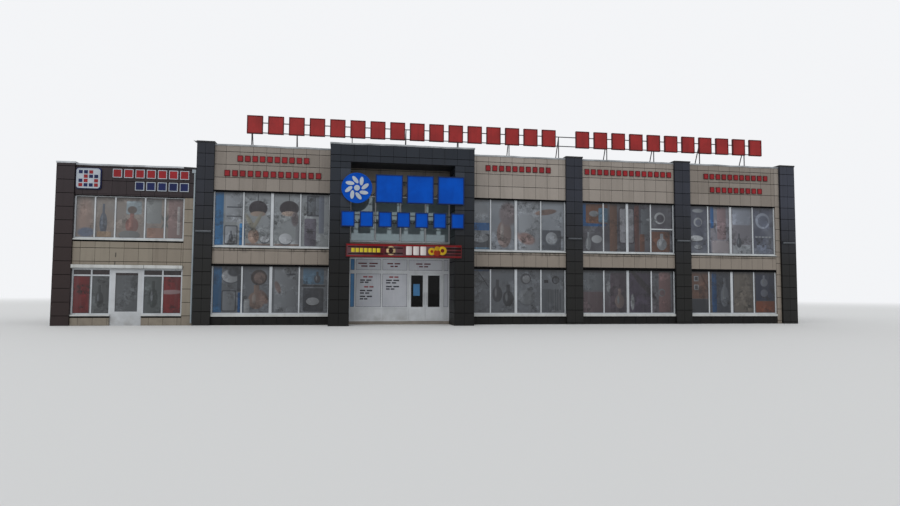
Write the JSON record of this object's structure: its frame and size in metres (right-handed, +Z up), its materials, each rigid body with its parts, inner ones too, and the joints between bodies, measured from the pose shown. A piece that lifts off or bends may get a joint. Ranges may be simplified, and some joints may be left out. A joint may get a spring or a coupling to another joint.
{
  "type": "supermarket building",
  "caption": "Two-storey supermarket building with dark tiled pilasters, a tall entrance portal, long window bays, blank sign blocks and a lower shop wing.",
  "frame": {"origin": "middle of the footprint box, on the ground", "axes": "+X to the right along the front, +Y from the front into the building, +Z up"},
  "size_m": [36.5, 13.19, 9.93],
  "materials": {
    "concrete": "matt",
    "roof_felt": "matt",
    "dark_tile": "satin",
    "beige_tile": "satin",
    "wing_tile": "satin",
    "brown_tile": "satin",
    "plinth_stone": "satin",
    "recess_tile": "satin",
    "white_metal": "satin",
    "white_frame": "satin",
    "film_glass": "clear, with printed film behind",
    "entry_glass": "clear",
    "white_panel": "satin",
    "grey_frame": "satin",
    "banner_cloth": "satin",
    "dark_metal": "satin",
    "blue_acrylic": "satin",
    "sign_metal": "satin",
    "roof_red": "satin",
    "wall_red": "satin",
    "coping_metal": "satin",
    "lamp_body": "satin"
  },
  "bodies": {
    "building": {"floor_slabs": "concrete", "roof_deck": "roof_felt", "front_pilasters": "dark_tile", "rear_pilasters": "dark_tile", "parapet_panels": "beige_tile", "spandrel_panels": "beige_tile", "plinth_panels": "plinth_stone", "wall_strips": "beige_tile", "party_wall": "beige_tile", "window_sills": "white_metal", "upper_window_frames": "white_frame", "lower_window_frames": "white_frame", "upper_window_glass": "film_glass", "lower_window_glass": "film_glass", "portal_legs": "dark_tile", "portal_beam": "dark_tile", "recess_wall": "recess_tile", "entrance_frame": "grey_frame", "entrance_transom": "grey_frame", "entrance_glass": "entry_glass", "kick_panels": "white_panel", "banner_box": "banner_cloth", "blue_sign_rails": "dark_metal", "blue_sign_blocks": "blue_acrylic", "roof_sign_rails": "sign_metal", "roof_sign_posts": "sign_metal", "roof_sign_stays": "sign_metal", "roof_sign_blocks": "roof_red", "wall_sign_blocks": "wall_red", "copings": "coping_metal", "pilaster_lights": "lamp_body", "wing_columns": "brown_tile", "wing_sign_band": "brown_tile", "wing_panels": "wing_tile", "wing_frames": "white_frame", "wing_glass": "film_glass", "wing_shutter_box": "coping_metal", "wing_door": "white_panel", "wing_sign_plate": "white_panel", "wing_sign_blocks": "wall_red", "rainwater_pipe": "coping_metal"},
    "door_left": {"left_leaf": "grey_frame", "left_leaf_glass": "entry_glass"},
    "door_right": {"right_leaf": "grey_frame", "right_leaf_glass": "entry_glass"}
  },
  "joints": [
    {"name": "left_leaf_hinge", "type": "hinge", "parent": "building", "child": "door_left", "pos_m": [-2.466, -4.938, 1.325], "axis": [0, 0, -1], "range_deg": [0, 90]},
    {"name": "right_leaf_hinge", "type": "hinge", "parent": "building", "child": "door_right", "pos_m": [-0.834, -4.938, 1.325], "axis": [0, 0, 1], "range_deg": [0, 90]}
  ]
}
